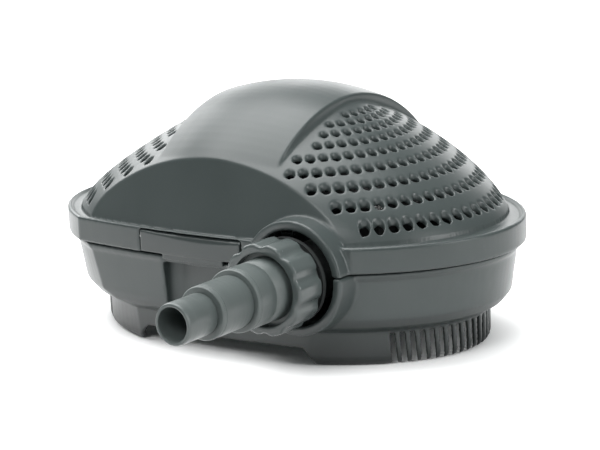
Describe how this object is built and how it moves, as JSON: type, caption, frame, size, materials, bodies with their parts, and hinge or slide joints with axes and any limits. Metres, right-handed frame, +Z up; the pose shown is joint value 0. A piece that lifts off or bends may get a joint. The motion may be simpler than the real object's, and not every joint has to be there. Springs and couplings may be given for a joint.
{
  "type": "fountain submersible pump",
  "caption": "Fountain pump in a hinged, perforated strainer casing with a front latch, a stepped hose tail on a union nut, and a canned-rotor motor with impeller inside.",
  "frame": {"origin": "middle of the bounding box on the ground, under the foot ring", "axes": "+X right seen from the front, +Y to the back (the hose tail points to -Y), +Z up"},
  "size_m": [0.326, 0.3377, 0.1585],
  "materials": {
    "casing_plastic": "satin",
    "latch_plastic": "satin",
    "tail_plastic": "satin",
    "nut_plastic": "gloss",
    "housing_plastic": "satin",
    "cradle_plastic": "satin",
    "impeller_plastic": "satin",
    "potting_resin": "gloss",
    "seal_rubber": "matt",
    "stainless": "satin",
    "core_steel": "matt",
    "copper_wire": "satin",
    "magnet": "matt"
  },
  "bodies": {
    "base": {"lower_shell": "casing_plastic", "hinge_pins": "stainless", "pump_housing": "housing_plastic", "volute_cover": "housing_plastic", "volute_seal": "seal_rubber", "housing_screws": "stainless", "motor_housing": "housing_plastic", "potting": "potting_resin", "stator_core": "core_steel", "stator_coils": "copper_wire", "rotor_can": "stainless", "shaft": "stainless", "rear_bearing": "seal_rubber", "front_bearing": "seal_rubber", "outlet_seal": "seal_rubber", "motor_cradle": "cradle_plastic", "rubber_mounts": "seal_rubber", "mount_screws": "stainless", "motor_straps": "stainless", "cable_gland": "housing_plastic", "gland_nut": "housing_plastic", "cable_grommet": "seal_rubber"},
    "lid": {"upper_shell": "casing_plastic", "latch_pin": "stainless"},
    "latch": {"latch": "latch_plastic"},
    "tail": {"hose_tail": "tail_plastic"},
    "nut": {"union_nut": "nut_plastic"},
    "rotor": {"rotor_magnet": "magnet", "thrust_washer": "stainless", "impeller": "impeller_plastic"}
  },
  "joints": [
    {"name": "lid_hinge", "type": "hinge", "parent": "base", "child": "lid", "pos_m": [0, 0.16385, 0.06245], "axis": [-1, 0, 0], "range_deg": [0, 75]},
    {"name": "latch_hinge", "type": "hinge", "parent": "lid", "child": "latch", "pos_m": [-0.00975, -0.04875, 0.073], "axis": [-1, 0, 0], "range_deg": [0, 75]},
    {"name": "tail_slide", "type": "slide", "parent": "base", "child": "tail", "axis": [0, -1, 0], "range_m": [0, 0.0121]},
    {"name": "nut_spin", "type": "hinge", "parent": "tail", "child": "nut", "pos_m": [0.07, -0.0738, 0.059], "axis": [0, -1, 0], "range_deg": [0, 1440]},
    {"name": "rotor_spin", "type": "hinge", "parent": "base", "child": "rotor", "pos_m": [0, 0.04185, 0.0765], "axis": [1, 0, 0], "continuous": true}
  ],
  "couplings": [
    {"joint": "tail_slide", "follows": "nut_spin", "m_per_rad": 0.00047746}
  ]
}
